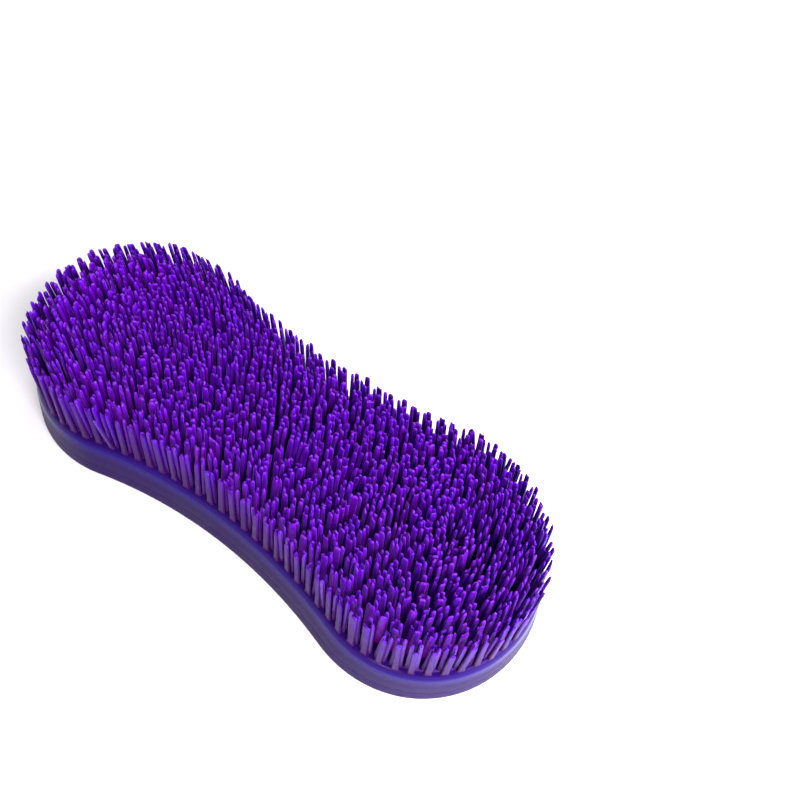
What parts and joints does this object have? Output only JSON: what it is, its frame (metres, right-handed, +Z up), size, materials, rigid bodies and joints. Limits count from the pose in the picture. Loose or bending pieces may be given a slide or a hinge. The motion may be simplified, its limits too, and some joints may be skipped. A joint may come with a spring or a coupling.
{
  "type": "curry brush",
  "caption": "Hourglass-shaped soft rubber curry brush with a hollow palm side and a dense bed of split bristle tufts.",
  "frame": {"origin": "middle of the rest plane, where the rim stands on a surface, below the middle of the brush", "axes": "+X along the length, +Y across the width, +Z up from the rim towards the bristle tips"},
  "size_m": [0.17, 0.0704, 0.0319],
  "materials": {
    "rim_rubber": "satin, moulded",
    "skirt_rubber": "satin, moulded",
    "palm_rubber": "smooth semi-gloss",
    "bed_rubber": "smooth semi-gloss",
    "bristle_rubber": "satin, fine moulded lines"
  },
  "bodies": {
    "root": {"rim_band": "rim_rubber", "skirt_wall": "skirt_rubber", "palm_plate": "palm_rubber", "bristle_bed": "bed_rubber", "blades_row_1": "bristle_rubber", "blades_row_2": "bristle_rubber", "blades_row_3": "bristle_rubber", "blades_row_4": "bristle_rubber", "blades_row_5": "bristle_rubber", "blades_row_6": "bristle_rubber", "blades_core": "bristle_rubber", "blades_spine": "bristle_rubber", "prongs_row_1": "bristle_rubber", "prongs_row_2": "bristle_rubber", "prongs_row_3": "bristle_rubber", "prongs_row_4": "bristle_rubber", "prongs_row_5": "bristle_rubber", "prongs_row_6": "bristle_rubber", "prongs_core": "bristle_rubber", "prongs_spine": "bristle_rubber"}
  },
  "joints": []
}
